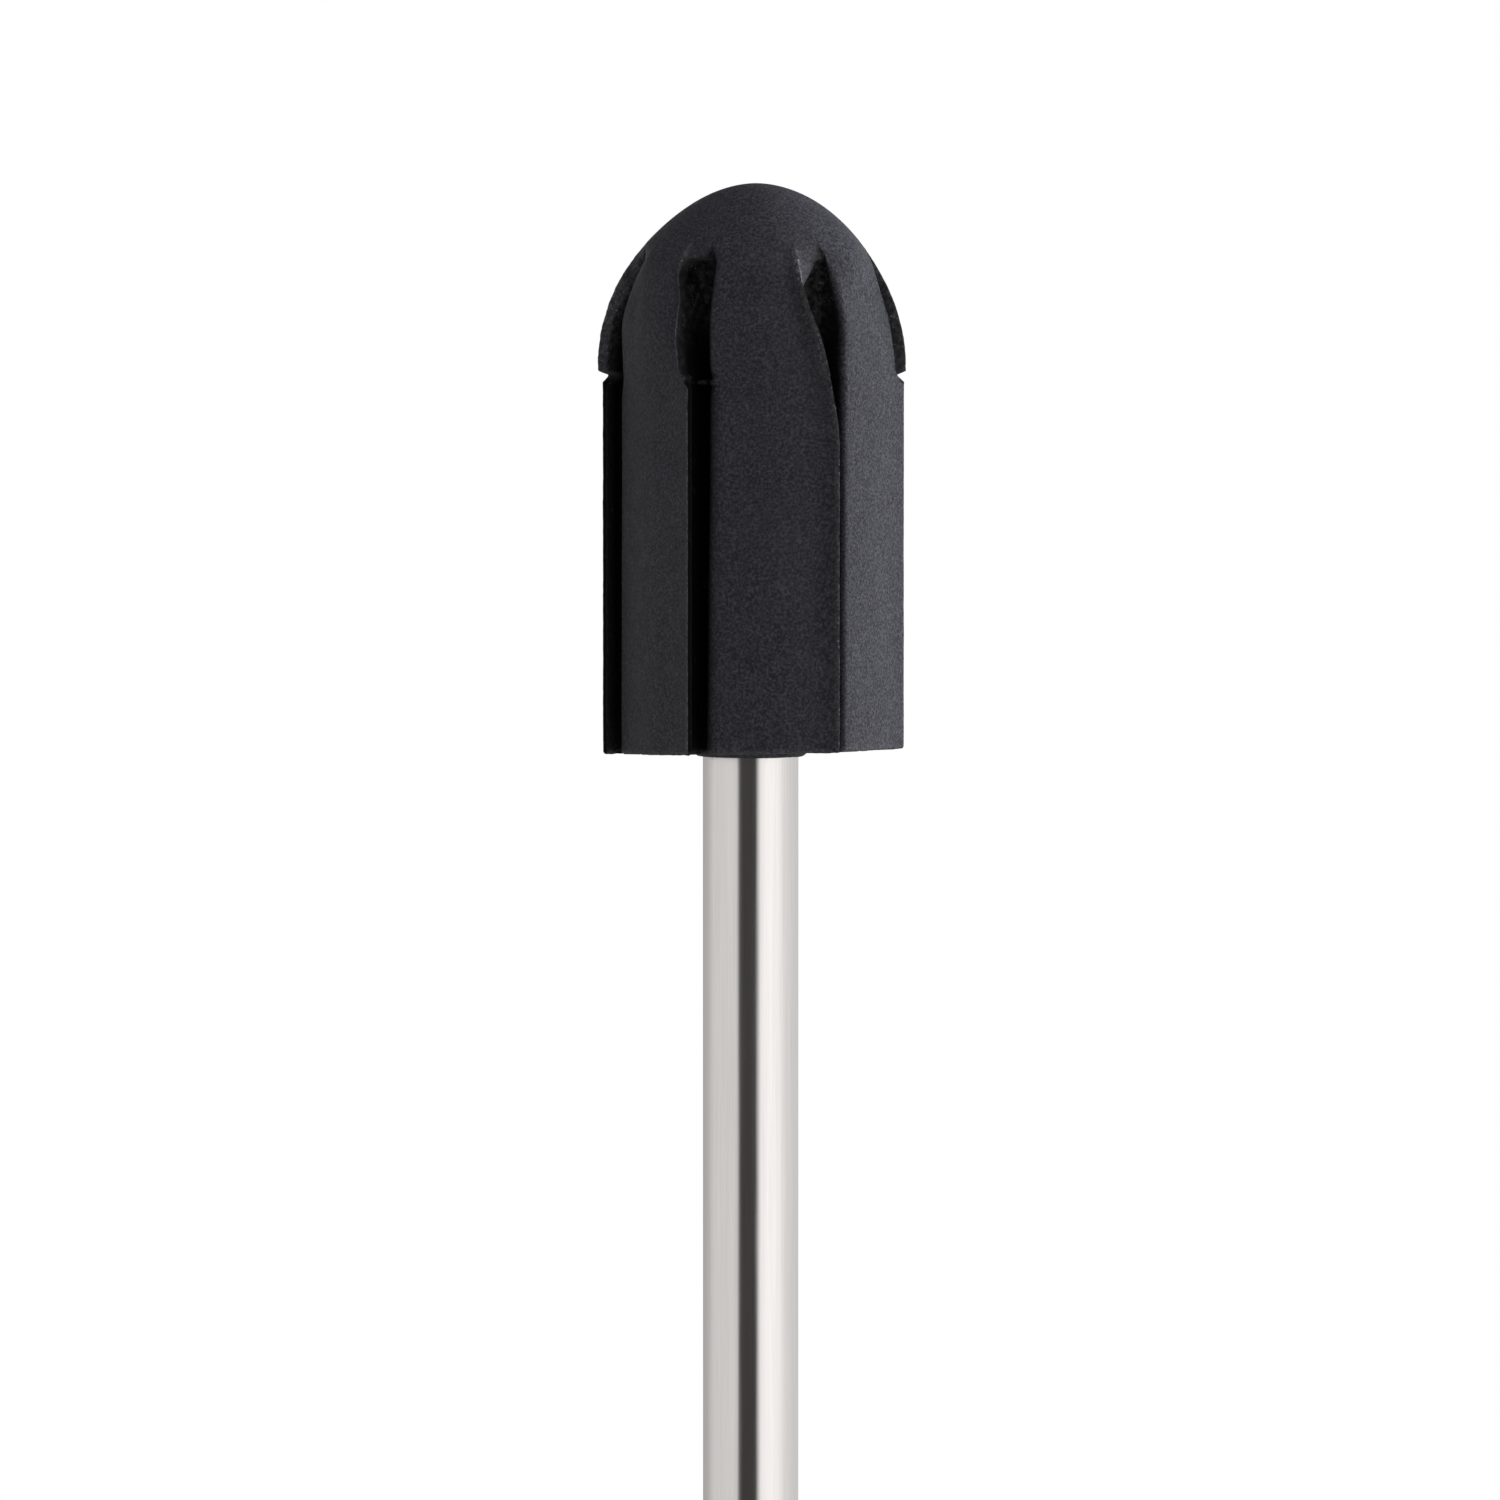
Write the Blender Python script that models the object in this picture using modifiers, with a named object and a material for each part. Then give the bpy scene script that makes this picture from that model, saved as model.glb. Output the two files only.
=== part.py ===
"""Slotted rubber mandrel that carries abrasive caps, on a straight 2.35 mm steel handpiece shank.

Metres, +Z up. The origin is the centre of the shank's tail face, and +Z runs along the axis to the
rubber tip. Angles run round the axis from -Y towards +X.
"""

from math import cos, pi, radians, sin

import bmesh
import bpy
from mathutils import Matrix, Vector

MM = 0.001
WELD = 1e-7

# Steel shank: a plain rod outside the rubber, and a grooved tenon inside it
SHANK_RADIUS = 1.175 * MM
SHANK_EXPOSED = 30.5 * MM
TAIL_CHAMFER = 0.2 * MM
TENON_RADIUS = 0.95 * MM
TENON_LENGTH = 11.0 * MM
TENON_TIP_CHAMFER = 0.3 * MM
GROOVE_COUNT = 3
GROOVE_DEPTH = 0.2 * MM
GROOVE_WIDTH = 1.0 * MM
GROOVE_FIRST = 2.5 * MM  # from the rubber's base to the first groove's middle
GROOVE_PITCH = 3.0 * MM

# Rubber head
HEAD_LENGTH = 14.0 * MM
HEAD_RADIUS = 3.7 * MM
DOME_RADIUS = 3.75 * MM  # the turned body stands a little proud of the lands cut out of it
DOME_HEIGHT = 4.5 * MM
DOME_POWER = 0.565  # 0.5 would be an ellipse; more is slightly pointed
DOME_STEPS = 10
BASE_EDGE = 0.14 * MM
LIP_RADIUS = 1.36 * MM  # thin moulded collar round the shank
LIP_HEIGHT = 0.1 * MM
BORE_GAP = 0.03 * MM

# Six slots divide the head into six saw-tooth lands
LAND_COUNT = 6
CRISP_EDGE_ANGLE = radians(35)  # the sharp edge of the first land
SLOT_MOUTH = radians(7)
LIP_OVERHANG = radians(7)  # how far each sharp edge leans over its slot
OVERHANG_ROOT = 3.4 * MM
SLOT_FLOOR = 2.55 * MM
SOFT_EDGE_RADIUS = 3.3 * MM  # how far out a land starts; it ends at the head's radius
LAND_BULGE = 0.25 * MM  # how far a land's middle stands above the chord between its edges
LAND_STEPS = 7
SLOT_FILLET = 0.12 * MM
SOFT_EDGE = 0.25 * MM
FILLET_STEPS = 3

# A small nick crosses every sharp edge just under the dome
NICK_ABOVE_BASE = 9.24 * MM
NICK_DEPTH = 0.2 * MM
NICK_HEIGHT = 0.26 * MM
NICK_LENGTH = 0.35 * MM
NICK_PROUD = 0.05 * MM  # how far outside the edge its cutter's middle lies

ROUND_STEPS = 60

HEAD_BASE = SHANK_EXPOSED
HEAD_TOP = HEAD_BASE + HEAD_LENGTH
DOME_FOOT = HEAD_TOP - DOME_HEIGHT
TENON_TOP = HEAD_BASE + TENON_LENGTH


def clear_scene():
    for item in list(bpy.data.objects):
        bpy.data.objects.remove(item, do_unlink=True)


def collection(name):
    made = bpy.data.collections.new(name)
    bpy.context.scene.collection.children.link(made)
    return made


def material(name, colour, roughness, metallic):
    made = bpy.data.materials.new(name)
    made.use_nodes = True
    shader = made.node_tree.nodes["Principled BSDF"]
    shader.inputs["Base Color"].default_value = (*colour, 1.0)
    shader.inputs["Roughness"].default_value = roughness
    shader.inputs["Metallic"].default_value = metallic
    made.diffuse_color = (*colour, 1.0)
    return made


def turned(name, profile, into, finish):
    """A solid of revolution from (radius, height) points that run down its outer side."""
    mesh = bpy.data.meshes.new(name)
    links = [(i, i + 1) for i in range(len(profile) - 1)]
    mesh.from_pydata([(radius, 0.0, height) for radius, height in profile], links, [])
    piece = bpy.data.objects.new(name, mesh)
    piece.data.materials.append(finish)
    into.objects.link(piece)
    screw = piece.modifiers.new("Turn", "SCREW")
    screw.angle = 2 * pi
    screw.steps = ROUND_STEPS
    screw.render_steps = ROUND_STEPS
    screw.use_merge_vertices = True
    screw.merge_threshold = WELD
    screw.use_smooth_shade = True
    return piece


def as_mesh(curve_object):
    """Replaces a curve object by a closed mesh object of the same name and place."""
    name = curve_object.name
    evaluated = curve_object.evaluated_get(bpy.context.evaluated_depsgraph_get())
    mesh = bpy.data.meshes.new_from_object(evaluated)
    welded = bmesh.new()
    welded.from_mesh(mesh)
    bmesh.ops.remove_doubles(welded, verts=welded.verts, dist=WELD)
    bmesh.ops.recalc_face_normals(welded, faces=welded.faces)
    welded.to_mesh(mesh)
    welded.free()
    solid = bpy.data.objects.new(name, mesh)
    solid.matrix_world = curve_object.matrix_world
    bpy.data.objects.remove(curve_object, do_unlink=True)
    solid.name = name
    return solid


def prism(name, outline, bottom, top):
    """An upright prism over a flat outline."""
    curve = bpy.data.curves.new(name, "CURVE")
    curve.dimensions = "2D"
    curve.fill_mode = "BOTH"
    curve.extrude = (top - bottom) / 2
    spline = curve.splines.new("POLY")
    spline.points.add(len(outline) - 1)
    for point, place in zip(spline.points, outline):
        point.co = (place.x, place.y, 0.0, 1.0)
    spline.use_cyclic_u = True
    curve_object = bpy.data.objects.new(name, curve)
    curve_object.location.z = (top + bottom) / 2
    bpy.context.scene.collection.objects.link(curve_object)
    bpy.context.view_layer.update()
    return as_mesh(curve_object)


def hide_cutter(cutter, into):
    into.objects.link(cutter)
    cutter.hide_render = True
    cutter.display_type = "WIRE"


def combine(piece, cutter, operation):
    step = piece.modifiers.new(cutter.name, "BOOLEAN")
    step.operation = operation
    step.solver = "EXACT"
    step.object = cutter


def around(radius, angle):
    """The point at an angle from -Y towards +X."""
    return Vector((radius * sin(angle), -radius * cos(angle)))


def fillet(before, corner, after, size):
    """A rounded corner, as points on a curve that leaves each side at `size` from the corner."""
    start = corner + (before - corner).normalized() * size
    end = corner + (after - corner).normalized() * size
    points = []
    for i in range(FILLET_STEPS + 1):
        t = i / FILLET_STEPS
        points.append(start * (1 - t) ** 2 + corner * 2 * t * (1 - t) + end * t**2)
    return points


def land_point(sharp_edge, share):
    """A point on a land's outer face: share 0 is its soft edge and 1 the sharp edge it ends at."""
    width = 2 * pi / LAND_COUNT - SLOT_MOUTH
    start = around(SOFT_EDGE_RADIUS, sharp_edge - width)
    end = around(HEAD_RADIUS, sharp_edge)
    outwards = (start + end).normalized()
    return start.lerp(end, share) + outwards * LAND_BULGE * sin(pi * share) ** 2


def land_outline(sharp_edge):
    """One land, from its soft edge to its sharp one, and the slot that follows it."""
    soft_corner = land_point(sharp_edge, 0)
    soft_side = sharp_edge - 2 * pi / LAND_COUNT + SLOT_MOUTH
    shares = [(i + 1) / LAND_STEPS for i in range(LAND_STEPS)]
    face = [land_point(sharp_edge, share) for share in shares]
    root_angle = sharp_edge - LIP_OVERHANG
    next_soft = sharp_edge + SLOT_MOUTH
    root = around(OVERHANG_ROOT, root_angle)
    floor_start = around(SLOT_FLOOR, root_angle)
    floor_middle = around(SLOT_FLOOR, sharp_edge)
    floor_end = around(SLOT_FLOOR, next_soft)
    next_corner = around(SOFT_EDGE_RADIUS, next_soft)
    outline = fillet(around(SLOT_FLOOR, soft_side), soft_corner, face[0], SOFT_EDGE)
    outline += face
    outline.append(root)
    outline += fillet(root, floor_start, floor_middle, SLOT_FILLET)
    outline += fillet(floor_middle, floor_end, next_corner, SLOT_FILLET)
    return outline


def lands_prism(cutters):
    outline = []
    for i in range(LAND_COUNT):
        outline += land_outline(CRISP_EDGE_ANGLE + i * 2 * pi / LAND_COUNT)
    margin = HEAD_LENGTH
    cutter = prism("lands_prism", outline, HEAD_BASE - margin, HEAD_TOP + margin)
    hide_cutter(cutter, cutters)
    return cutter


def nick_cutter(index, cutters):
    """A diamond bar lying across one sharp edge, corner inwards."""
    angle = CRISP_EDGE_ANGLE + index * 2 * pi / LAND_COUNT
    place = around(HEAD_RADIUS + NICK_PROUD, angle)
    depth = NICK_DEPTH + NICK_PROUD
    half_height = NICK_HEIGHT / 2 * depth / NICK_DEPTH
    mesh = bpy.data.meshes.new(f"nick_{index + 1}")
    bar = bmesh.new()
    bmesh.ops.create_cube(bar, size=2**0.5)
    bmesh.ops.rotate(bar, matrix=Matrix.Rotation(radians(45), 3, "X"), verts=bar.verts)
    bmesh.ops.scale(bar, vec=(NICK_LENGTH, depth, half_height), verts=bar.verts)
    bar.to_mesh(mesh)
    bar.free()
    cutter = bpy.data.objects.new(mesh.name, mesh)
    cutter.rotation_euler.z = angle
    cutter.location = (place.x, place.y, HEAD_BASE + NICK_ABOVE_BASE)
    hide_cutter(cutter, cutters)
    return cutter


def shank_profile(gap=0.0):
    """The tenon and its grooves, top to bottom. A gap widens it into the bore that it sits in."""
    radius = TENON_RADIUS + gap
    top = TENON_TOP + gap
    points = [(0.0, top)]
    points.append((radius - TENON_TIP_CHAMFER, top))
    points.append((radius, top - TENON_TIP_CHAMFER))
    slope = GROOVE_DEPTH
    for i in reversed(range(GROOVE_COUNT)):
        middle = HEAD_BASE + GROOVE_FIRST + i * GROOVE_PITCH
        half = GROOVE_WIDTH / 2 - gap
        points.append((radius, middle + half))
        points.append((radius - GROOVE_DEPTH, middle + half - slope))
        points.append((radius - GROOVE_DEPTH, middle - half + slope))
        points.append((radius, middle - half))
    return points


def shank(into):
    steel = material("shank_steel", (0.72, 0.70, 0.67), 0.18, 1.0)
    shoulder = SHANK_RADIUS - TENON_RADIUS
    profile = shank_profile()
    profile.append((TENON_RADIUS, HEAD_BASE + 2 * shoulder))
    profile.append((SHANK_RADIUS, HEAD_BASE + shoulder))
    profile.append((SHANK_RADIUS, TAIL_CHAMFER))
    profile.append((SHANK_RADIUS - TAIL_CHAMFER, 0.0))
    profile.append((0.0, 0.0))
    return turned("steel_shank", profile, into, steel)


def dome_profile():
    """From the tip down to the dome's foot."""
    points = []
    for i in range(DOME_STEPS + 1):
        turn = pi / 2 * (1 - i / DOME_STEPS)
        points.append((DOME_RADIUS * cos(turn) ** (2 * DOME_POWER), DOME_FOOT + DOME_HEIGHT * sin(turn)))
    points[0] = (0.0, HEAD_TOP)
    return points


def head(into, cutters):
    rubber = material("black_rubber", (0.022, 0.021, 0.023), 0.7, 0.0)
    shoulder = SHANK_RADIUS - TENON_RADIUS
    bore = SHANK_RADIUS + BORE_GAP
    profile = dome_profile()
    profile.append((DOME_RADIUS, HEAD_BASE + BASE_EDGE))
    profile.append((DOME_RADIUS - BASE_EDGE, HEAD_BASE))
    profile.append((LIP_RADIUS, HEAD_BASE))
    profile.append((LIP_RADIUS, HEAD_BASE - LIP_HEIGHT))
    profile.append((bore, HEAD_BASE - LIP_HEIGHT))
    profile.append((bore, HEAD_BASE + shoulder))
    profile.append((TENON_RADIUS + BORE_GAP, HEAD_BASE + 2 * shoulder))
    profile += reversed(shank_profile(BORE_GAP))
    piece = turned("rubber_head", profile, into, rubber)
    combine(piece, lands_prism(cutters), "INTERSECT")
    for i in range(LAND_COUNT):
        combine(piece, nick_cutter(i, cutters), "DIFFERENCE")
    return piece


def main():
    clear_scene()
    parts = collection("cap_mandrel")
    cutters = collection("cutters")
    shank(parts)
    head(parts, cutters)


main()
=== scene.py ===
"""Looks of the slotted rubber cap mandrel: a moulded black rubber head on a polished steel shank.

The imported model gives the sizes. Both solids are replaced by finer meshes of nearly the same shape.
Lengths are in millimetres inside the shape functions, and metres in Blender. Angles run round the
axis from -Y, the side that the camera sees, towards +X.
"""

from dataclasses import dataclass, replace
from math import cos, pi, radians, sin, sqrt

import bmesh
import bpy
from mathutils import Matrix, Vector, noise


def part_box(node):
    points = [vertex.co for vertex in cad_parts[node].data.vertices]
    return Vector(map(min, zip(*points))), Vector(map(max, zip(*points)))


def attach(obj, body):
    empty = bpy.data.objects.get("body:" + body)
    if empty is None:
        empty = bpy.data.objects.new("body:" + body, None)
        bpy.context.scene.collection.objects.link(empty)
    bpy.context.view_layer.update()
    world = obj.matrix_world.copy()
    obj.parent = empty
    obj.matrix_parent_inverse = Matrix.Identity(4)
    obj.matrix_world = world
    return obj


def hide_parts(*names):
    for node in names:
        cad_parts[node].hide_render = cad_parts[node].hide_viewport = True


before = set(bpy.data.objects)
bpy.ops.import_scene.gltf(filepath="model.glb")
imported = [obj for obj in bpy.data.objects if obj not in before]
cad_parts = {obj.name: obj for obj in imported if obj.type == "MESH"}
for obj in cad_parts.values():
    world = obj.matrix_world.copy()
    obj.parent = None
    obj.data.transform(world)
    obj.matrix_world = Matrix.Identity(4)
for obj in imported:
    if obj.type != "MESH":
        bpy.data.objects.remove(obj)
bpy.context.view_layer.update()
MM = 0.001
head_low, head_high = (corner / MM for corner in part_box("rubber_head"))
shank_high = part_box("steel_shank")[1] / MM

# Steel shank, in mm
SHANK_RADIUS = shank_high.x
TENON_TOP = shank_high.z
TENON_RADIUS = 0.95
TENON_TIP_CHAMFER = 0.3
GROOVE_COUNT = 3
GROOVE_DEPTH = 0.2
GROOVE_WIDTH = 1.0
GROOVE_FIRST = 2.5
GROOVE_PITCH = 3.0
TAIL_CHAMFER = 0.2
TURNED_CORNER = 0.05  # how far each corner is rounded
SHANK_SIDES = 192
BORE_GAP = 0.03
WOBBLE_SIZE = 0.5  # how far apart the unevenness of a round edge is

# Rubber head, in mm. Heights are above the base of the lands.
COLLAR_HEIGHT = 0.1
COLLAR_RADIUS = 1.36
COLLAR_ROUND = 0.05  # its foot spreads by this much, and its lower edge is worn back by it
COLLAR_SIDES = 96
BASE = head_low.z + COLLAR_HEIGHT
TIP_SHORT = 0.035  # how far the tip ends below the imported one
LENGTH = head_high.z - BASE - TIP_SHORT
CREST_RADIUS = 3.71
DOME_RADIUS = 3.78
DOME_FOOT = 9.5
DOME_POWER = 0.615
DOME_TIP_POWER = 0.545  # the tip is blunter
BASE_ROUND = 0.09
BASE_ROUND_STEPS = 5
BASE_TILT = (0.0166, -0.0286)  # the base is trimmed slightly out of square
BASE_SETTLED = 2.0  # the rings above this height are square to the axis
BASE_WEAR = 0.4  # the least wear round the base's edge
HEAD_OFF_CENTRE = 0.072
DOME_OFF_CENTRE = 0.03
TIP_OFF_CENTRE = 0.133
TIP_LEAN = (11.5, 13.8)  # the heights between which the tip goes off centre

# The parting line of the mould: a nick in each crest, and a little flash across each slot
NICK_LOW = 9.08
NICK_MIDDLE = 9.26
NICK_HIGH = 9.36
NICK_DEPTH = 0.18
DOME_STEP = 9.23  # from here to the nick's top, the crests step out to the dome's radius
FLASH_HEIGHT = 9.12
FLASH_HALF = 0.09
FLASH_DEPTH = 0.45  # how far it stands above the slot's floor
FLASH_FLAT = 0.6  # how far in from its edges it is at its full depth, as a share of its half
FLASH_WEAR = 0.15
FLASH_SHADE = 0.6  # it is less dark than the floor, at 1

# Lands and slots. A pair of heights is where something starts to change and where it is done.
LANDS = 6
PITCH = 360 / LANDS  # degrees
FIRST_CREST = 34.3  # degrees
LAND_BULGE = 0.15  # how far a land's middle stands above the chord between its edges
LAND_WAVE = 1.1  # how much of the bulge runs out flat at the edges
LAND_EDGE_SHARE = 0.988  # the land's radius beside its crest over the dome's, at the dome's foot
LAND_EDGE_FROM = 6.0  # the height from which the land's edge starts to draw in to that
LAND_JOINS_DOME = 10.9  # the height from which the lands start to merge into the dome
FACE_STEPS = 34
FACE_INSET = 14.0  # degrees from the soft edge's corner to where its rounding ends
DIM_FROM = 0.72  # the share of a land's width from which painted shade dims it
SLOT_TOP = 12.35
SLOT_CLOSED = 12.55  # the dome is whole above this height
SLOT_MAIN = (9.2, 10.5)  # from its shape just above the lip to its main one
SLOT_HIGH = (10.5, 11.5)  # and to its shape at the top

# The soft edge of each slot
SOFT_EDGE_RADIUS = 3.3
SOFT_EDGE_ROUND = 0.25
SOFT_SHARE_LOW = 0.875  # the soft edge's radius over the crest's, at the dome's foot
SOFT_SHARE_HIGH = 0.915  # and further up
SOFT_CLOSES = (SLOT_TOP - 0.3, SLOT_CLOSED)  # it comes out to the dome
SOFT_TURN_SLOW = (0.0, 9.6)  # half of the edge's turn takes the whole way up
SOFT_TURN_QUICK = (8.6, 9.4)  # and half comes near the parting line
SOFT_ROUND_CHANGE = (8.6, 9.6)  # from each slot's own rounding to the usual one
SOFT_REACH = 0.95  # how much of the way to the face the rounding may take
SOFT_SHADE = 0.85  # how deep in shade the rounding starts
RISE_SHADE = 0.9  # the shade at the top of the soft side, where the floor's is 1

# The crest side of each slot. Turns are in degrees.
CREST_WIDTH = 0.6  # the worn crest below the lip's top
BURR_WIDTH = 1.7  # from the land's face to the top of its crest above the lip
BURR_FOOT = 0.045  # how far the land drops beside its burr, above the lip
BURR_STARTS = (8.9, 9.7)
BURR_STOPS = (11.0, 12.4)
BURR_NARROWS = 12.2  # it is back to the width of a worn crest where the slots are closed
BURR_SHARE = 0.7  # the share of a land's width from which it drops
BURR_FOOT_WEAR = 0.2
LIP_DEPTH = 0.1  # the lip's edge
LIP_TURN = 1.0  # how far it hangs over
LIP_ROOT_RADIUS = 3.33  # where it meets the wall under it
LIP_ROOT_TURN = 4.3
LIP_FLOOR_TURN = 5.3  # where that wall meets the floor
CHAMFER_DEPTH = 0.25
CHAMFER_DEPTH_TOP = 0.42
CHAMFER_DEEPENS = (10.4, 11.8)
CHAMFER_SHADE_FADES = (11.9, 12.3)
CHAMFER_SHADE_LOST = 0.7  # the share of its shade that it loses there
CHAMFER_SHADE_OUTER = 0.7  # its shade beside the crest, over the shade at its inner edge
UNDER_DEPTH = 0.28  # the wall leans back for this far under the chamfer
UNDER_TURN = 1.6
UNDER_SHADE = 0.7  # the least shade just under the chamfer
WALL_TURN = 2.2  # where the wall meets the floor, from the chamfer's inner edge
CRUMBS_START = (9.6, 11.2)

# The floor and the end of each slot
FLOOR_RADIUS = 2.55
FLOOR_ROUND = 0.12
FLOOR_CLIMB = 0.4  # the height over which a slot's floor climbs to the dome
FLOOR_SHORT = 0.3  # degrees from the floor's end to the soft edge
END_RIGHT = 0.55  # the height over which a slot's soft side curves in to its end
END_WIDTH = 0.4  # degrees

# Rings of the head: (the first height, how far apart, how many). They are closest at the nicks.
RING_BANDS = ((0.02, 0.12, 71), (8.5, 0.05, 10), (9.02, 0.02, 21), (9.49, 0.05, 67))
TIP_RINGS = 36
TIP_FLAT = 0.002  # how far below the tip the last ring may be

SHARP_FROM = 40  # degrees between two faces with a sharp edge


@dataclass
class SlotStyle:
    """One slot. Angles are in degrees from the nominal crest."""

    lip_full: float = 8.98  # the overhanging lip is whole below this height
    lip_gone: float = 9.16  # and gone above this one
    crest_low: float = -3.0  # where the crest is just above the lip
    crest: float = -5.0  # and a little higher
    lean: float = 3.0  # how far the crest moves on from there by the top
    lean_from: float = 10.8
    lean_to: float = 12.0
    turn_low: float = -0.2  # the chamfer's inner edge from its crest, above the lip
    turn: float = 1.6  # and a little higher
    turn_high: float = 0.5  # and at the top
    shade: float = 0.6  # how deep the chamfer's painted shade is
    rough: float = 0.15  # how worn the chamfer is, partly a painted highlight where it faces the light
    crumbs: float = 0.25  # how much torn rubber its top has
    worn_and_highlit: float = 1.0  # how worn the crest is, with its painted highlight
    burr_shade: float = 0.0  # how deep the painted shade on the burr beside it is
    flash: float = 1.0  # how much flash crosses it
    dim: float = 0.05  # how much painted shade darkens the land beside its crest
    close_from: float = 11.6  # the crest side curves in to the slot's end from here
    close_to: float = 12.3
    soft_low: float = 7.0  # the soft edge at the base
    soft_high: float = 8.0  # and above the lip
    soft_round: float = 0.25  # how far the soft edge is rounded below the lip's top, in mm
    end: float = 3.5  # where the slot ends at its top
    nick: float = 1.0  # how much of a nick its crest has
    swell: float = 1.0  # how much of the usual bulge the land beside its crest has
    soft_fade: float = 2.0  # how soon the soft edge's rounding is as light as its land


PLAIN = SlotStyle()
LEFT = SlotStyle(
    crest_low=-2.3,
    crest=-4.7,
    lean=5.2,
    lean_from=11.0,
    lean_to=12.0,
    turn_low=1.0,
    turn=2.2,
    turn_high=-0.5,
    shade=1.0,
    close_from=11.7,
    close_to=12.35,
    soft_low=3.6,
    soft_high=6.7,
    soft_round=0.8,
    end=3.6,
    soft_fade=1.2,
)
TAPERED = SlotStyle(
    lip_full=7.6,
    lip_gone=9.9,
    crest_low=-5.0,
    lean=7.5,
    lean_from=9.3,
    lean_to=11.7,
    turn_low=0.8,
    turn=0.8,
    turn_high=0.9,
    shade=0.15,
    crumbs=0.3,
    worn_and_highlit=1.2,
    dim=0.3,
    close_from=11.2,
    close_to=12.2,
    soft_low=7.4,
    soft_high=8.3,
    end=2.4,
    nick=0.0,
    flash=0.0,
)
SHADED = replace(PLAIN, shade=1.0, worn_and_highlit=0.5, burr_shade=0.75, swell=0.3)
ROUGH = replace(PLAIN, shade=0.3, rough=0.5, soft_low=4.5, soft_round=0.08)
SLOT_STYLES = (TAPERED, SHADED, TAPERED, PLAIN, ROUGH, LEFT)  # from FIRST_CREST round


def smooth(low, high, value):
    t = min(1.0, max(0.0, (value - low) / (high - low)))
    return t * t * (3 - 2 * t)


def mix(a, b, share):
    return a + (b - a) * share


def grain(place, size, seed=0.0):
    """Seeded noise between about -1 and 1 whose features are `size` mm across."""
    return noise.noise(Vector(place) / size + Vector((seed, seed * 1.7, -seed)))


# ---------------------------------------------------------------------------------------------
# Rubber head


def dome_radius(height):
    """The radius over the crests at a height above the base."""
    if height <= DOME_FOOT:
        return mix(CREST_RADIUS, DOME_RADIUS, smooth(DOME_STEP, NICK_HIGH, height))
    t = min(1.0, (height - DOME_FOOT) / (LENGTH - DOME_FOOT))
    return DOME_RADIUS * (1 - t * t) ** mix(DOME_POWER, DOME_TIP_POWER, t**4)


def off_centre(height):
    """How far the head's middle lies to +X of the shank's axis."""
    dome = smooth(NICK_LOW, DOME_FOOT, height)
    return mix(mix(HEAD_OFF_CENTRE, DOME_OFF_CENTRE, dome), TIP_OFF_CENTRE, smooth(*TIP_LEAN, height))


def nick_depth(height):
    if height <= NICK_LOW or height >= NICK_HIGH:
        return 0.0
    if height < NICK_MIDDLE:
        return NICK_DEPTH * (height - NICK_LOW) / (NICK_MIDDLE - NICK_LOW)
    return NICK_DEPTH * (NICK_HIGH - height) / (NICK_HIGH - NICK_MIDDLE)


def soft_edge_radius(height):
    """The radius at a slot's soft edge, before it is rounded."""
    if height <= DOME_FOOT:
        return SOFT_EDGE_RADIUS
    share = mix(SOFT_SHARE_LOW, SOFT_SHARE_HIGH, smooth(DOME_FOOT, LAND_JOINS_DOME, height))
    return dome_radius(height) * mix(share, 1.0, smooth(*SOFT_CLOSES, height))


def at(radius, angle):
    """The point at an angle in degrees."""
    turn = radians(angle)
    return Vector((radius * sin(turn), -radius * cos(turn)))


def straight(start, end, count):
    """Points from start towards end, without end."""
    return [start.lerp(end, i / count) for i in range(count)]


def bend(before, corner, after, size, count, reach=0.5):
    """A rounded corner, both ends included.

    It takes at most half of the side before it, and at most the share `reach` of the side after it.
    """
    back = before - corner
    ahead = after - corner
    start = corner + back * min(0.5, size / max(back.length, 1e-6))
    end = corner + ahead * min(reach, size / max(ahead.length, 1e-6))
    points = []
    for i in range(count + 1):
        t = i / count
        points.append(start * (1 - t) ** 2 + corner * (2 * t * (1 - t)) + end * t * t)
    return points


def soft_angle(height, style):
    """How far the soft edge is from the slot's nominal crest, in degrees."""
    turned = (smooth(*SOFT_TURN_SLOW, height) + smooth(*SOFT_TURN_QUICK, height)) / 2
    return mix(style.soft_low, style.soft_high, turned)


def lip_share(height, style):
    """From 1 where the overhanging lip is whole to 0 above it."""
    return 1 - smooth(style.lip_full, style.lip_gone, height)


def crest_angle(height, style):
    """How far the crest is from its nominal place, which the lip reaches. Above the lip it lies back."""
    back = mix(style.crest_low, style.crest, smooth(*SLOT_MAIN, height))
    lean = style.lean * smooth(style.lean_from, style.lean_to, height)
    return (back - lean) * (1 - lip_share(height, style))


def land_edge_radius(height):
    """The radius of a land's face at its nominal crest."""
    if height <= DOME_FOOT:
        drop = smooth(LAND_EDGE_FROM, DOME_FOOT, height)
        return mix(CREST_RADIUS, LAND_EDGE_SHARE * DOME_RADIUS, drop)
    return dome_radius(height) * mix(LAND_EDGE_SHARE, 1.0, smooth(DOME_FOOT, SLOT_TOP, height))


def land_radius(height, angle, width, swell):
    """The radius of a land's face, at an angle from its soft edge. Its width is in degrees."""
    soft = soft_edge_radius(height)
    edge = land_edge_radius(height)
    across = soft * sin(radians(angle)) + edge * sin(radians(width - angle))
    chord = soft * edge * sin(radians(width)) / across
    share = angle / width
    bulge = mix(4 * share * (1 - share), sin(pi * share) ** 2, LAND_WAVE)
    burred = smooth(*BURR_STARTS, height) * (1 - smooth(*BURR_STOPS, height))
    foot = BURR_FOOT * burred * smooth(BURR_SHARE, 1.0, share)
    face = chord + LAND_BULGE * swell * bulge * edge / CREST_RADIUS - foot
    return mix(face, dome_radius(height), smooth(LAND_JOINS_DOME, SLOT_CLOSED, height))


def closing(height):
    """From 0 to 1 as a slot's soft side curves in to its end."""
    t = min(1.0, max(0.0, (height - SLOT_TOP + END_RIGHT) / END_RIGHT))
    return 1 - sqrt(1 - t * t)


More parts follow.
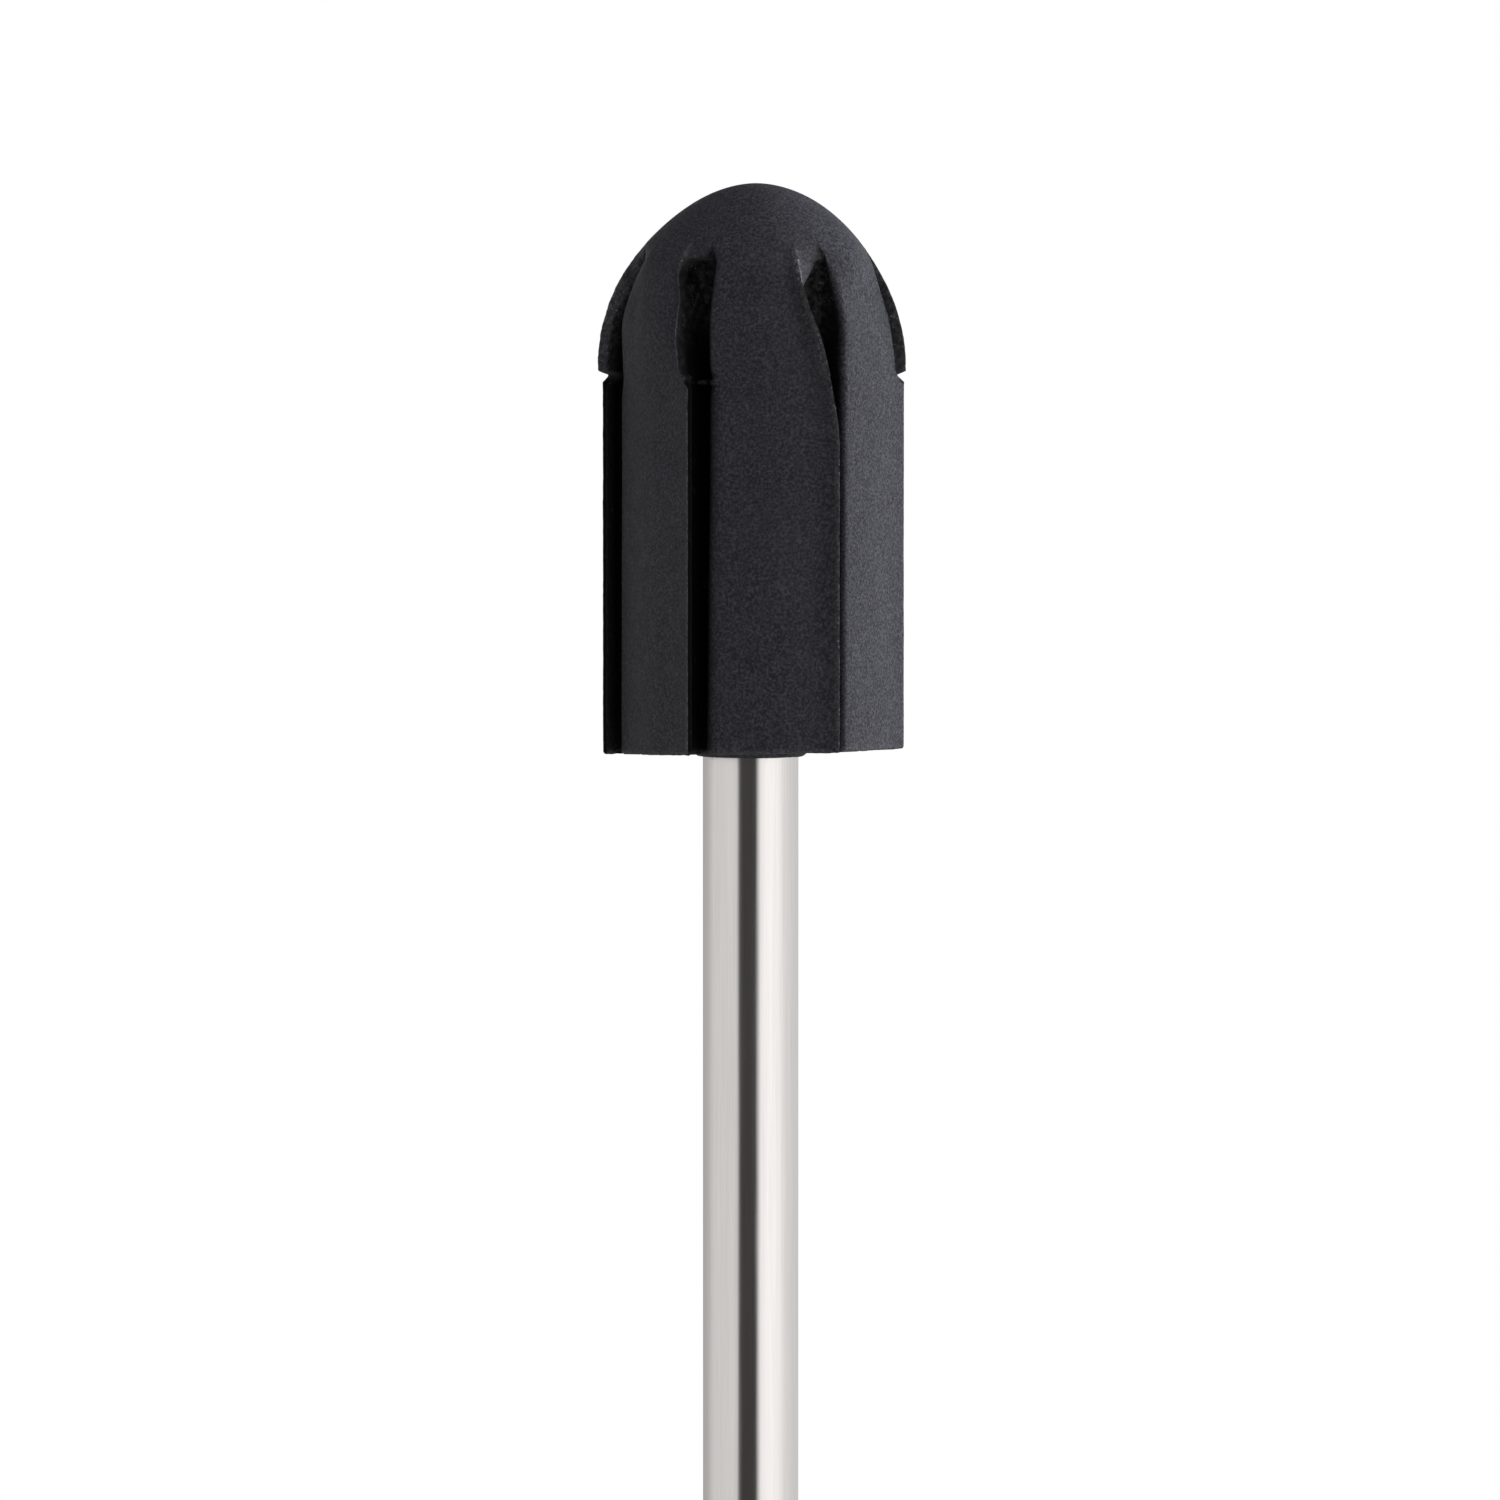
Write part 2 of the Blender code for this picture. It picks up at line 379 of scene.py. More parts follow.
def flash(height):
    """From 0 to 1 at the parting line's flash across each slot."""
    return smooth(0, FLASH_FLAT, 1 - abs(height - FLASH_HEIGHT) / FLASH_HALF)


def floor_radius(height, style):
    """The radius of a slot's floor, which rises at the flash and climbs to the dome at its end."""
    radius = dome_radius(height)
    raised = FLOOR_RADIUS + FLASH_DEPTH * flash(height) * style.flash
    climb = smooth(SLOT_TOP - FLOOR_CLIMB, SLOT_TOP, height)
    return min(mix(raised, radius, climb), soft_edge_radius(height), radius)


def slot_corners(height, style):
    """The corners of a slot's section, as (radius, degrees from the nominal crest)."""
    lip = lip_share(height, style)
    angle = crest_angle(height, style)
    floor = floor_radius(height, style)
    crest = dome_radius(height) - nick_depth(height) * style.nick
    chamfer = mix(CHAMFER_DEPTH, CHAMFER_DEPTH_TOP, smooth(*CHAMFER_DEEPENS, height))
    tip = max(floor, crest - mix(chamfer, LIP_DEPTH, lip))
    root = max(floor, mix(crest - chamfer - UNDER_DEPTH, LIP_ROOT_RADIUS, lip))
    turn = mix(style.turn_low, style.turn, smooth(*SLOT_MAIN, height))
    inner = angle + mix(turn, style.turn_high, smooth(*SLOT_HIGH, height))
    tip_angle = mix(inner, angle + LIP_TURN, lip)
    root_angle = mix(inner - UNDER_TURN, angle - LIP_ROOT_TURN, lip)
    floor_angle = mix(inner - WALL_TURN, angle - LIP_FLOOR_TURN, lip)
    in_left = smooth(style.close_from, style.close_to, height)
    right = mix(soft_angle(height, style), style.end + END_WIDTH, closing(height))
    return [
        (crest, angle),
        (tip, mix(tip_angle, style.end, in_left)),
        (root, mix(root_angle, style.end, in_left)),
        (floor, mix(floor_angle, style.end, in_left)),
        (floor, right - FLOOR_SHORT),
        (soft_edge_radius(height), right),
    ]


# How many points each stretch of a slot's section has
PATH_COUNTS = {"burr": 5, "tip": 5, "under": 6, "wall": 8, "floor": 8, "rise": 8, "round": 4, "soft": 9}
CLEAN = 0.0
WORN = 1.0
# DEEP is the fullest painted shade, deep in a slot
DEEP = 1.0


@dataclass
class Section:
    """One ring of the head: its points, how worn each one is, with a painted highlight on lit crests, and
    how much painted shade it has, most deep in a slot.
    """

    points: list
    wear_and_highlight: list
    depth: list

    def add(self, points, wear_and_highlight, depth):
        count = len(points)
        self.points += points
        self.wear_and_highlight += wear_and_highlight if isinstance(wear_and_highlight, list) else [wear_and_highlight] * count
        self.depth += depth if isinstance(depth, list) else [depth] * count


def add_land(section, height, style, nominal, start, crest_turn, crest):
    """Adds a land's face, from the end of its soft edge's rounding, and the burr up to its crest."""
    width = nominal - start
    above = smooth(NICK_LOW, NICK_HIGH, height) * (1 - smooth(BURR_NARROWS, SLOT_CLOSED, height))
    end = nominal + crest_turn - mix(CREST_WIDTH, BURR_WIDTH, above)

    def on_face(angle):
        return at(land_radius(height, angle - start, width, style.swell), angle)

    shares = [i / FACE_STEPS for i in range(FACE_STEPS)]
    face = [on_face(mix(start + FACE_INSET, end, share)) for share in shares]
    # painted shade dims the land towards its crest
    section.add(face, CLEAN, [style.dim * smooth(DIM_FROM, 1.0, share) for share in shares])
    count = PATH_COUNTS["burr"]
    # wear on the burr, partly a painted highlight along the crest
    rubbed_and_highlit = [style.worn_and_highlit * mix(BURR_FOOT_WEAR, WORN, i / count) for i in range(count)]
    # painted shade on the burr, as deep as burr_shade
    section.add(straight(on_face(end), crest, count), rubbed_and_highlit, style.burr_shade * above)


def add_crest_side(section, height, style, crumbs, crest, tip, root):
    """Adds the chamfer or lip beside a slot's crest, and what leans back under it."""
    torn = smooth(NICK_LOW, NICK_HIGH, height)
    # painted shade on the chamfer, the lip and the wall under them
    shade = torn * style.shade * (1 - CHAMFER_SHADE_LOST * smooth(*CHAMFER_SHADE_FADES, height))
    rough = torn * style.rough
    count = PATH_COUNTS["tip"]
    shades = [shade * mix(CHAMFER_SHADE_OUTER, 1.0, i / count) for i in range(1, count)]
    depth = [0.0] + [mix(DEEP, value, torn) for value in shades]
    section.add(straight(crest, tip, count), [style.worn_and_highlit] + [rough] * (count - 1), depth)
    count = PATH_COUNTS["under"]
    shares = [i / count for i in range(count)]
    wear_and_highlight = [mix(rough, crumbs, share) for share in shares]
    depth = [mix(max(UNDER_SHADE, shade), DEEP, share) for share in shares]
    section.add(straight(tip, root, count), wear_and_highlight, depth)


def add_floor(section, height, style, crumbs, root, left, right, soft):
    """Adds a slot's wall, its floor and the turn up to its soft side. Returns where that turn ends."""
    count = PATH_COUNTS["round"]
    left_bend = bend(root, left, right, FLOOR_ROUND, count)
    right_bend = bend(left, right, soft, FLOOR_ROUND, count)
    floor = straight(left_bend[-1], right_bend[0], PATH_COUNTS["floor"])[1:]
    ledge = flash(height) * style.flash
    # painted shade: the wall and floor are darkest, the flash a little less
    section.add(straight(root, left_bend[0], PATH_COUNTS["wall"]), crumbs, DEEP)
    section.add(left_bend, crumbs, DEEP)
    section.add(floor, max(crumbs, FLASH_WEAR * ledge), mix(DEEP, FLASH_SHADE, ledge))
    section.add(right_bend, crumbs, DEEP)
    return right_bend[-1]


def add_soft_side(section, height, style, crumbs, start, floor_right, soft, after):
    """Adds a slot's soft side, and its edge rounded over to the next land's face."""
    rounding = mix(style.soft_round, SOFT_EDGE_ROUND, smooth(*SOFT_ROUND_CHANGE, height))
    steps = PATH_COUNTS["soft"]
    edge = bend(floor_right, soft, after, rounding, steps, SOFT_REACH)
    count = PATH_COUNTS["rise"]
    shares = [i / count for i in range(count - 1)]
    # painted shade fades up the soft side and over its rounding
    depth = [mix(DEEP, RISE_SHADE, share) for share in shares]
    section.add(straight(start, edge[0], count)[1:], [crumbs * (1 - share) for share in shares], depth)
    depth = [max(0.0, SOFT_SHADE - style.soft_fade * i / steps) for i in range(steps)]
    section.add(edge[:-1], CLEAN, depth)


def next_face(height, index, soft_turn):
    """The first point of the face after a slot, past its soft edge's rounding."""
    edge = soft_angle(height, SLOT_STYLES[index])
    swell = SLOT_STYLES[(index + 1) % LANDS].swell
    radius = land_radius(height, max(0.0, soft_turn - edge + FACE_INSET), PITCH - edge, swell)
    return at(radius, FIRST_CREST + index * PITCH + soft_turn + FACE_INSET)


def add_sector(section, height, index):
    """Adds one land and the slot after it."""
    nominal = FIRST_CREST + index * PITCH
    style = SLOT_STYLES[index]
    start = nominal - PITCH + soft_angle(height, SLOT_STYLES[index - 1])
    crumbs = style.crumbs * smooth(*CRUMBS_START, height)
    corners = slot_corners(height, style)
    crest_turn = corners[0][1]
    soft_turn = corners[-1][1]
    crest, tip, root, left, right, soft = (at(radius, nominal + turn) for radius, turn in corners)
    add_land(section, height, style, nominal, start, crest_turn, crest)
    add_crest_side(section, height, style, crumbs, crest, tip, root)
    turned = add_floor(section, height, style, crumbs, root, left, right, soft)
    after = next_face(height, index, soft_turn)
    add_soft_side(section, height, style, crumbs, turned, right, soft, after)


def ring_heights():
    """Heights of the rings from the base's rounded edge up to just below the tip."""
    heights = [first + i * apart for first, apart, count in RING_BANDS for i in range(count)]
    start = heights[-1]
    rest = LENGTH - start
    heights += [start + rest * sin(pi / 2 * i / TIP_RINGS) for i in range(1, TIP_RINGS)]
    return [height for height in heights if BASE_ROUND <= height < LENGTH - TIP_FLAT]


@dataclass
class Lumps:
    """Unevenness of the rubber, in mm: its height where it is slight and where strong, and its size."""

    slight: float
    strong: float
    size: float
    seed: float

    def push(self, place, share=0.0):
        return mix(self.slight, self.strong, share) * grain(place, self.size, self.seed)


UNEVEN = Lumps(0.004, 0.004, 0.9, 3.0)
WORN_LUMPS = (Lumps(0.007, 0.012, 0.3, 7.0), Lumps(0.004, 0.012, 0.09, 11.0))
SLOT_LUMPS = (Lumps(0.012, 0.03, 0.17, 17.0), Lumps(0.0, 0.02, 0.07, 23.0))
SLOT_SWELLINGS = Lumps(0.03, 0.03, 0.5, 19.0)
BASE_LUMPS = Lumps(0.02, 0.02, 0.22, 21.0)
TORN_STARTS = (NICK_HIGH - 0.1, NICK_HIGH + 0.1)  # the crests are rougher above the nicks
TORN_STOPS = (SLOT_TOP - 0.1, SLOT_TOP + 0.2)
RAGGED_STARTS = (9.8, 11.6)  # and the slots' walls further up
SHADE_STOPS = (SLOT_TOP - 0.1, SLOT_TOP + 0.3)  # wear, painted highlight and painted shade end with the slots
LEAST_RADIUS = 0.5  # a point nearer the axis is pushed by a smaller share


def roughen(point, height, wear_and_highlight, depth):
    """Moves a point as the rubber's worn crests and torn slot walls do."""
    place = (point.x, point.y, height)
    torn = smooth(*TORN_STARTS, height) * (1 - smooth(*TORN_STOPS, height))
    push = UNEVEN.push(place)
    if wear_and_highlight > 0:
        push += wear_and_highlight * sum(lumps.push(place, torn) for lumps in WORN_LUMPS)
    if depth > 0:
        ragged = smooth(*RAGGED_STARTS, height) * torn
        push += depth * sum(lumps.push(place, ragged) for lumps in SLOT_LUMPS)
        push += depth * max(0.0, SLOT_SWELLINGS.push(place))
    return point * (1 + push / max(point.length, LEAST_RADIUS))


def base_height(point):
    """How far the slanting base is above BASE at a point."""
    return BASE_TILT[0] * point.x + BASE_TILT[1] * point.y


def inset(points, amount):
    """A closed outline moved inwards."""
    moved = []
    count = len(points)
    for i, point in enumerate(points):
        along = points[(i + 1) % count] - points[i - 1]
        length = max(along.length, 1e-6)
        normal = Vector((along.y, -along.x)) / length
        moved.append(point - normal * amount)
    return moved


def outline(height):
    """The head's section at a height. It has the same number of points at every height."""
    section = Section([], [], [])
    for index in range(LANDS):
        add_sector(section, height, index)
    fade = 1 - smooth(*SHADE_STOPS, height)
    section.wear_and_highlight = [wear_and_highlight * fade for wear_and_highlight in section.wear_and_highlight]
    section.depth = [depth * fade for depth in section.depth]
    aside = Vector((off_centre(height), 0))
    closed = smooth(SLOT_TOP, SLOT_CLOSED, height)
    whole = dome_radius(height)
    section.points = [p * mix(1.0, whole / p.length, closed) for p in section.points]
    parts = zip(section.points, section.wear_and_highlight, section.depth)
    section.points = [roughen(p, height, wear_and_highlight, depth) + aside for p, wear_and_highlight, depth in parts]
    return section


def tenon_profile(gap):
    """The tenon inside the rubber and its grooves, top to bottom."""
    radius = TENON_RADIUS + gap
    top = TENON_TOP + gap
    points = [(radius - TENON_TIP_CHAMFER, top), (radius, top - TENON_TIP_CHAMFER)]
    for i in reversed(range(GROOVE_COUNT)):
        middle = BASE + GROOVE_FIRST + i * GROOVE_PITCH
        half = GROOVE_WIDTH / 2 - gap
        points.append((radius, middle + half))
        points.append((radius - GROOVE_DEPTH, middle + half - GROOVE_DEPTH))
        points.append((radius - GROOVE_DEPTH, middle - half + GROOVE_DEPTH))
        points.append((radius, middle - half))
    shoulder = SHANK_RADIUS - TENON_RADIUS
    points.append((radius, BASE + 2 * shoulder))
    points.append((SHANK_RADIUS + gap, BASE + shoulder))
    return points


class Skin:
    """A mesh built ring by ring."""

    def __init__(self):
        self.mesh = bmesh.new()
        # wear, which also carries a painted highlight on lit crests and chamfers
        self.wear_and_highlight = self.mesh.verts.layers.float.new("wear_and_highlight")
        # painted shade, deepest in the slots
        self.depth = self.mesh.verts.layers.float.new("depth")

    def ring(self, places, wear_and_highlight=None, depth=None):
        verts = []
        for i, place in enumerate(places):
            vert = self.mesh.verts.new(Vector(place) * MM)
            vert[self.wear_and_highlight] = wear_and_highlight[i] if wear_and_highlight else 0.0
            vert[self.depth] = depth[i] if depth else 0.0
            verts.append(vert)
        return verts

    def bridge(self, lower, upper):
        """Faces between two rings of one size, facing away from the axis when upper is above lower."""
        count = len(lower)
        for i in range(count):
            j = (i + 1) % count
            self.mesh.faces.new((lower[i], lower[j], upper[j], upper[i]))

    def cap(self, ring, place, flip=False):
        pole = self.mesh.verts.new(Vector(place) * MM)
        count = len(ring)
        for i in range(count):
            j = (i + 1) % count
            corners = (ring[i], ring[j], pole)
            self.mesh.faces.new(tuple(reversed(corners)) if flip else corners)

    def done(self, name):
        bmesh.ops.recalc_face_normals(self.mesh, faces=self.mesh.faces)
        mesh = bpy.data.meshes.new(name)
        self.mesh.to_mesh(mesh)
        self.mesh.free()
        mesh.shade_smooth()
        mesh.set_sharp_from_angle(angle=radians(SHARP_FROM))
        piece = bpy.data.objects.new(name, mesh)
        bpy.context.scene.collection.objects.link(piece)
        return piece


def circle(radius, height, sides, wobble=0.0):
    """A ring round the axis. A wobble makes it uneven by about that much."""
    places = []
    for i in range(sides):
        point = at(radius, 360 * i / sides)
        uneven = wobble * grain((point.x, point.y, height), WOBBLE_SIZE, 5.0)
        point = point * (1 + uneven / radius)
        places.append((point.x, point.y, height + uneven * 0.5))
    return places


# The collar's rings below the base: (radius, how far down as a share of its height, how uneven in mm)
COLLAR_RINGS = (
    (COLLAR_RADIUS, 0.6, 0.05),
    (COLLAR_RADIUS - COLLAR_ROUND, 1.0, 0.03),
    (SHANK_RADIUS + BORE_GAP, 0.7, 0.0),
)
COLLAR_FOOT_UNEVEN = 0.04


def add_base_edge(skin):
    """Adds the rounded edge round the base. Returns its lowest and highest rings."""
    section = outline(0.0)
    worn_and_highlit = [mix(BASE_WEAR, WORN, wear_and_highlight) for wear_and_highlight in section.wear_and_highlight]
    rings = []
    for i in range(BASE_ROUND_STEPS):
        turn = pi / 2 * i / BASE_ROUND_STEPS
        rise = BASE_ROUND * (1 - cos(turn))
        places = []
        for p in inset(section.points, BASE_ROUND * (1 - sin(turn))):
            ragged = BASE_LUMPS.push((p.x, p.y, 0.0)) * (1 - i / BASE_ROUND_STEPS)
            places.append((p.x, p.y, BASE + base_height(p) + rise + ragged))
        rings.append(skin.ring(places, worn_and_highlit, section.depth))
    for lower, upper in zip(rings, rings[1:]):
        skin.bridge(lower, upper)
    return rings[0], rings[-1]


def add_lands(skin, last):
    """Adds the lands, the slots and the dome above a ring."""
    for height in ring_heights():
        section = outline(height)
        settle = 1 - smooth(0.0, BASE_SETTLED, height)
        places = [(p.x, p.y, BASE + height + base_height(p) * settle) for p in section.points]
        ring = skin.ring(places, section.wear_and_highlight, section.depth)
        skin.bridge(last, ring)
        last = ring
    skin.cap(last, (TIP_OFF_CENTRE, 0, BASE + LENGTH))


def add_underside(skin, edge):
    """Adds the flat base, the collar, and the bore that the tenon fills."""
    around = circle(COLLAR_RADIUS + COLLAR_ROUND, BASE, COLLAR_SIDES, COLLAR_FOOT_UNEVEN)
    last = skin.ring([(x, y, z + base_height(Vector((x, y)))) for x, y, z in around])
    fill_between(skin, edge, last)
    for radius, drop, uneven in COLLAR_RINGS:
        ring = skin.ring(circle(radius, BASE - COLLAR_HEIGHT * drop, COLLAR_SIDES, uneven))
        skin.bridge(ring, last)
        last = ring
    for radius, height in reversed(tenon_profile(BORE_GAP)):
        ring = skin.ring(circle(radius, height, COLLAR_SIDES))
        skin.bridge(ring, last)
        last = ring
    skin.cap(last, (0, 0, TENON_TOP + BORE_GAP), flip=True)


def rubber_head():
    skin = Skin()
    edge, last = add_base_edge(skin)
    add_lands(skin, last)
    add_underside(skin, edge)
    return skin.done("rubber_head_skin")


def fill_between(skin, outer, inner):
    """Closes the flat base between the lands' outline and the collar."""
    edges = []
    for ring in (outer, inner):
        for i, vert in enumerate(ring):
            edge = skin.mesh.edges.get((ring[i - 1], vert))
            edges.append(edge or skin.mesh.edges.new((ring[i - 1], vert)))
    bmesh.ops.triangle_fill(skin.mesh, use_beauty=True, use_dissolve=False, edges=edges)


# ---------------------------------------------------------------------------------------------
# Steel shank


def rounded_profile(points, size):
    """A turned profile with every corner between its two ends rounded a little."""
    out = [points[0]]
    for before, corner, after in zip(points, points[1:], points[2:]):
        curve = bend(Vector(before), Vector(corner), Vector(after), size, 3)
        out += [(p.x, p.y) for p in curve]
    out.append(points[-1])
    return out


def steel_shank():
    skin = Skin()
    profile = [(0.0, TENON_TOP)] + tenon_profile(0.0)
    profile += [(SHANK_RADIUS, TAIL_CHAMFER), (SHANK_RADIUS - TAIL_CHAMFER, 0.0), (0.0, 0.0)]
    profile = rounded_profile(profile, TURNED_CORNER)
    last = None
    for radius, height in profile[1:-1]:
        ring = skin.ring(circle(radius, height, SHANK_SIDES))
        if last:
            skin.bridge(ring, last)
        else:
            skin.cap(ring, (0, 0, TENON_TOP))
        last = ring
    skin.cap(last, (0, 0, 0), flip=True)
    return skin.done("steel_shank_skin")


# ---------------------------------------------------------------------------------------------
# Materials


class Nodes:
    """A material's or world's node tree, with short calls to add to it."""

    def __init__(self, owner):
        owner.use_nodes = True
        self.tree = owner.node_tree
        self.tree.nodes.clear()

    def add(self, kind, **settings):
        node = self.tree.nodes.new(kind)
        for name, value in settings.items():
            setattr(node, name, value)
        return node

    def link(self, source, target):
        self.tree.links.new(source, target)

    def number(self, operation, a, b=0.0):
        node = self.add("ShaderNodeMath", operation=operation)
        for socket, value in zip(node.inputs, (a, b)):
            if isinstance(value, (int, float)):
                socket.default_value = value
            else:
                self.link(value, socket)
        return node.outputs[0]

    def ramp(self, value, stops, interpolation="LINEAR"):
        node = self.add("ShaderNodeValToRGB")
        node.color_ramp.interpolation = interpolation
        elements = node.color_ramp.elements
        while len(elements) < len(stops):
            elements.new(0.5)
        for element, (position, colour) in zip(elements, stops):
            element.position = position
            red_green_blue = colour if isinstance(colour, tuple) else (colour, colour, colour)
            element.color = (*red_green_blue, 1.0)
        self.link(value, node.inputs[0])
        return node.outputs[0]

    def noise(self, vector, size_mm, detail=3.0, roughness=0.55):
        node = self.add("ShaderNodeTexNoise")
        node.inputs["Scale"].default_value = 1 / (size_mm * MM)
        node.inputs["Detail"].default_value = detail
        node.inputs["Roughness"].default_value = roughness
        self.link(vector, node.inputs["Vector"])
        return node.outputs["Fac"]

    def mix_colour(self, factor, a, b):
        node = self.add("ShaderNodeMix", data_type="RGBA")
        for socket, value in ((node.inputs[0], factor), (node.inputs[6], a), (node.inputs[7], b)):
            if isinstance(value, tuple):
                socket.default_value = (*value, 1.0)
            elif isinstance(value, (int, float)):
                socket.default_value = value
            else:
                self.link(value, socket)
        return node.outputs[2]

    def bump(self, height, strength, distance_mm, below=None):
        node = self.add("ShaderNodeBump")
        node.inputs["Strength"].default_value = strength
        node.inputs["Distance"].default_value = distance_mm * MM
        self.link(height, node.inputs["Height"])
        if below:
            self.link(below, node.inputs["Normal"])
        return node.outputs[0]


# Colours of the rubber: its own two tones, its bloom and darker blotches, the painted shade deep in a
# slot, the scuffs, which are partly a painted highlight on lit crests, and dust
RUBBER_TONES = ((0.0078, 0.0078, 0.0102), (0.0119, 0.0118, 0.0150))
RUBBER_BLOOM = (0.0430, 0.0430, 0.0500)
RUBBER_BLOTCH = (0.0105, 0.0112, 0.0140)
# painted shade: the near black that the rubber is darkened to deep in a slot
RUBBER_PAINTED_SHADE = (0.0008, 0.0008, 0.0010)
# scuffs: partly real wear, partly a painted highlight on lit crests and chamfers
RUBBER_SCUFF_AND_HIGHLIGHT = (0.09, 0.09, 0.09)
RUBBER_DUST = (0.17, 0.165, 0.16)
RUBBER_SPECULAR = 0.16

# Sizes of what is seen on the rubber, in mm
TONE_SIZE = 1.4
BLOOM_SIZE = 0.062
BLOTCH_SIZE = 0.28
SCUFF_SIZE = 0.14
SPECK_SIZE = 0.085
SPECK_PATCH_SIZE = 0.32
GLOSS_SIZE = 0.5
SLOW_SIZE = 0.4
GRIT_SIZE = 0.07

# The steel: its two tones, the size of its drawn lines and slow waves across the shank in mm, and how
# much shorter each is across than along
STEEL_TONES = ((0.70, 0.665, 0.64), (0.78, 0.745, 0.715))
STEEL_LINE_SIZE = 0.05
STEEL_LINE_STRETCH = 0.012
STEEL_WAVE_SIZE = 0.5
STEEL_WAVE_STRETCH = 0.1

PALE = (0.88, 0.88, 0.88, 1.0)


def rubber_surface(nodes, place, depth):
    """The rubber's own colour: greyed by bloom, blotched, and darkened by painted shade where it is deep
    in a slot.
    """
    dark, light = RUBBER_TONES
    tone = nodes.ramp(nodes.noise(place, TONE_SIZE, 3.0), [(0.3, dark), (0.7, light)])
    bloom = nodes.ramp(nodes.noise(place, BLOOM_SIZE, 3.0, 0.6), [(0.40, 0.0), (0.68, 0.85)])
    mottled = nodes.mix_colour(bloom, tone, RUBBER_BLOOM)
    blotches = nodes.ramp(nodes.noise(place, BLOTCH_SIZE, 3.0, 0.6), [(0.3, 0.0), (0.7, 0.35)])
    blotched = nodes.mix_colour(blotches, mottled, RUBBER_BLOTCH)
    # painted shade darkens the rubber deep in the slots
    return nodes.mix_colour(depth, blotched, RUBBER_PAINTED_SHADE)


def rubber_specks(nodes, place, wear_and_highlight):
    """How much dust is where: specks in patches, more of them where the rubber is worn, which adds to the
    painted highlight on the crests.
    """
    speck = nodes.add("ShaderNodeTexVoronoi")
    speck.inputs["Scale"].default_value = 1 / (SPECK_SIZE * MM)
    nodes.link(place, speck.inputs["Vector"])
    dot = nodes.ramp(speck.outputs["Distance"], [(0.1, 1.0), (0.36, 0.0)])
    patches = nodes.noise(place, SPECK_PATCH_SIZE, 2.0)
    chance = nodes.number("ADD", patches, nodes.number("MULTIPLY", wear_and_highlight, 0.2))
    dusted = nodes.number("MULTIPLY", dot, nodes.ramp(chance, [(0.58, 0.0), (0.74, 1.0)]))
    amount = nodes.number("ADD", 0.18, nodes.number("MULTIPLY", wear_and_highlight, 0.5))
    return nodes.number("MULTIPLY", dusted, amount)


def rubber_material():
    """Black rubber: greyed and dusted where it is handled, worn at its crests with a painted highlight
    there, and darkened by painted shade in its slots.
    """
    material = bpy.data.materials.new("black_rubber")
    nodes = Nodes(material)
    place = nodes.add("ShaderNodeTexCoord").outputs["Object"]
    # wear, partly a painted highlight on lit crests
    wear_and_highlight = nodes.add("ShaderNodeAttribute", attribute_name="wear_and_highlight").outputs["Fac"]
    # how much painted shade each point has, most deep in a slot
    depth = nodes.add("ShaderNodeAttribute", attribute_name="depth").outputs["Fac"]
    shader = nodes.add("ShaderNodeBsdfPrincipled")
    shader.inputs["Specular IOR Level"].default_value = RUBBER_SPECULAR

    surface = rubber_surface(nodes, place, depth)
    scuffs = nodes.ramp(nodes.noise(place, SCUFF_SIZE, 3.0, 0.7), [(0.4, 0.0), (0.68, 0.55)])
    # scuffs: real wear and a painted highlight on the crests
    worn_and_highlit = nodes.mix_colour(nodes.number("MULTIPLY", wear_and_highlight, scuffs), surface, RUBBER_SCUFF_AND_HIGHLIGHT)
    colour = nodes.mix_colour(rubber_specks(nodes, place, wear_and_highlight), worn_and_highlit, RUBBER_DUST)
    nodes.link(colour, shader.inputs["Base Color"])
    gloss = nodes.ramp(nodes.noise(place, GLOSS_SIZE), [(0.3, 0.52), (0.7, 0.62)])
    dull = nodes.number("ADD", gloss, nodes.number("MULTIPLY", depth, 0.35))
    nodes.link(dull, shader.inputs["Roughness"])
    slow = nodes.bump(nodes.noise(place, SLOW_SIZE, 2.0), 0.05, 0.04)
    grit = nodes.bump(nodes.noise(place, GRIT_SIZE, 3.0, 0.65), 0.12, 0.006, slow)
    nodes.link(grit, shader.inputs["Normal"])
    nodes.link(shader.outputs[0], nodes.add("ShaderNodeOutputMaterial").inputs["Surface"])
    return material


def stretched(nodes, place, share):
    """The same places squeezed along the shank, so that what is seen there is drawn out along it."""
    node = nodes.add("ShaderNodeMapping")
    node.inputs["Scale"].default_value = (1.0, 1.0, share)
    nodes.link(place, node.inputs["Vector"])
    return node.outputs[0]


def steel_material():
    """Polished steel with fine drawn lines along it."""
    material = bpy.data.materials.new("shank_steel")
    nodes = Nodes(material)
    place = nodes.add("ShaderNodeTexCoord").outputs["Object"]
    shader = nodes.add("ShaderNodeBsdfPrincipled")
    shader.inputs["Metallic"].default_value = 1.0
    lines = nodes.noise(stretched(nodes, place, STEEL_LINE_STRETCH), STEEL_LINE_SIZE, 4.0, 0.6)
    waves = nodes.noise(stretched(nodes, place, STEEL_WAVE_STRETCH), STEEL_WAVE_SIZE, 2.0)
    dark, light = STEEL_TONES
    nodes.link(nodes.ramp(lines, [(0.3, dark), (0.7, light)]), shader.inputs["Base Color"])
    nodes.link(nodes.ramp(lines, [(0.3, 0.1), (0.7, 0.17)]), shader.inputs["Roughness"])
    wavy = nodes.bump(waves, 0.10, 0.02)
    scored = nodes.bump(lines, 0.10, 0.004, wavy)
    nodes.link(scored, shader.inputs["Normal"])
    nodes.link(shader.outputs[0], nodes.add("ShaderNodeOutputMaterial").inputs["Surface"])
    return material


